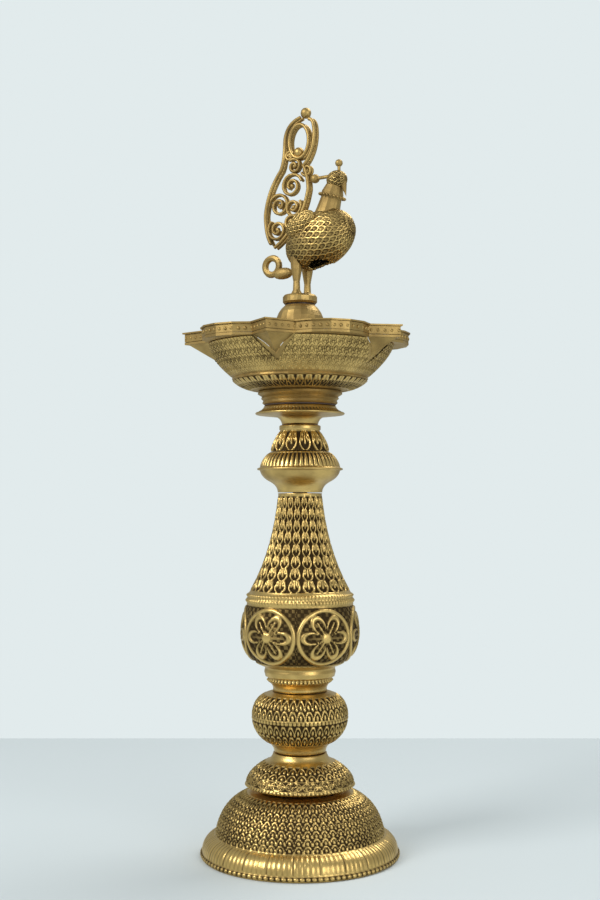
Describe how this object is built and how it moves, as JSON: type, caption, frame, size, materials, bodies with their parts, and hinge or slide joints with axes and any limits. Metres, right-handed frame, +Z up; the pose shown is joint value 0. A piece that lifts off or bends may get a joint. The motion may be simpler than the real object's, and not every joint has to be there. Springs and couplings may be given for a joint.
{
  "type": "oil lamp",
  "caption": "Tall standing brass oil lamp: bell foot, turned stem, scalloped wick bowl with pointed spouts and a bird finial that unscrews.",
  "frame": {"origin": "centre of the foot, on the surface it stands on", "axes": "+Z up along the stem, +X where the bird faces"},
  "size_m": [0.1867, 0.1836, 0.611],
  "materials": {
    "antique_brass": "worn antique",
    "dark_brass": "dark patina",
    "iron_fittings": "plain",
    "leather_washer": "matte"
  },
  "bodies": {
    "stand": {"foot_bell": "antique_brass", "base_dome": "antique_brass", "stem_bulb": "antique_brass", "stem_vase": "dark_brass", "stem_knop": "antique_brass", "pierced_collar": "dark_brass", "drip_saucer": "antique_brass", "foot_washer": "iron_fittings", "tie_rod": "iron_fittings", "stem_washer": "iron_fittings", "stem_nut": "iron_fittings", "bowl_washer": "leather_washer"},
    "bowl": {"oil_bowl": "antique_brass", "wick_spout_1": "antique_brass", "wick_spout_2": "antique_brass", "wick_spout_3": "antique_brass", "wick_spout_4": "antique_brass", "wick_spout_5": "antique_brass", "coin_band": "antique_brass", "rim_lip": "antique_brass"},
    "pillar_washer": {"pillar_washer": "leather_washer"},
    "pillar": {"centre_pillar": "antique_brass"},
    "finial_washer": {"finial_washer": "leather_washer"},
    "finial": {"perch": "antique_brass", "finial_stud": "iron_fittings", "leg_left": "antique_brass", "leg_right": "antique_brass", "peacock_body": "antique_brass", "wing_left": "dark_brass", "wing_right": "dark_brass", "neck": "antique_brass", "head": "antique_brass", "beak": "antique_brass", "crest_ball": "antique_brass", "nape_tassel": "dark_brass", "tail_plume": "dark_brass", "tail_curl": "antique_brass"}
  },
  "joints": [
    {"name": "bowl_lift", "type": "slide", "parent": "stand", "child": "bowl", "axis": [0, 0, 1], "range_m": [0, 0.05]},
    {"name": "pillar_turn", "type": "hinge", "parent": "bowl", "child": "pillar_washer", "pos_m": [0, 0, 0.383], "axis": [0, 0, 1], "range_deg": [0, 1800]},
    {"name": "pillar_rise", "type": "slide", "parent": "pillar_washer", "child": "pillar", "axis": [0, 0, 1], "range_m": [0, 0.01501]},
    {"name": "finial_turn", "type": "hinge", "parent": "pillar", "child": "finial_washer", "pos_m": [0, 0, 0.4461], "axis": [0, 0, 1], "range_deg": [0, 1440]},
    {"name": "finial_rise", "type": "slide", "parent": "finial_washer", "child": "finial", "axis": [0, 0, 1], "range_m": [0, 0.01001]}
  ],
  "couplings": [
    {"joint": "pillar_rise", "follows": "pillar_turn", "m_per_rad": 0.00047746},
    {"joint": "finial_rise", "follows": "finial_turn", "m_per_rad": 0.00039789}
  ]
}
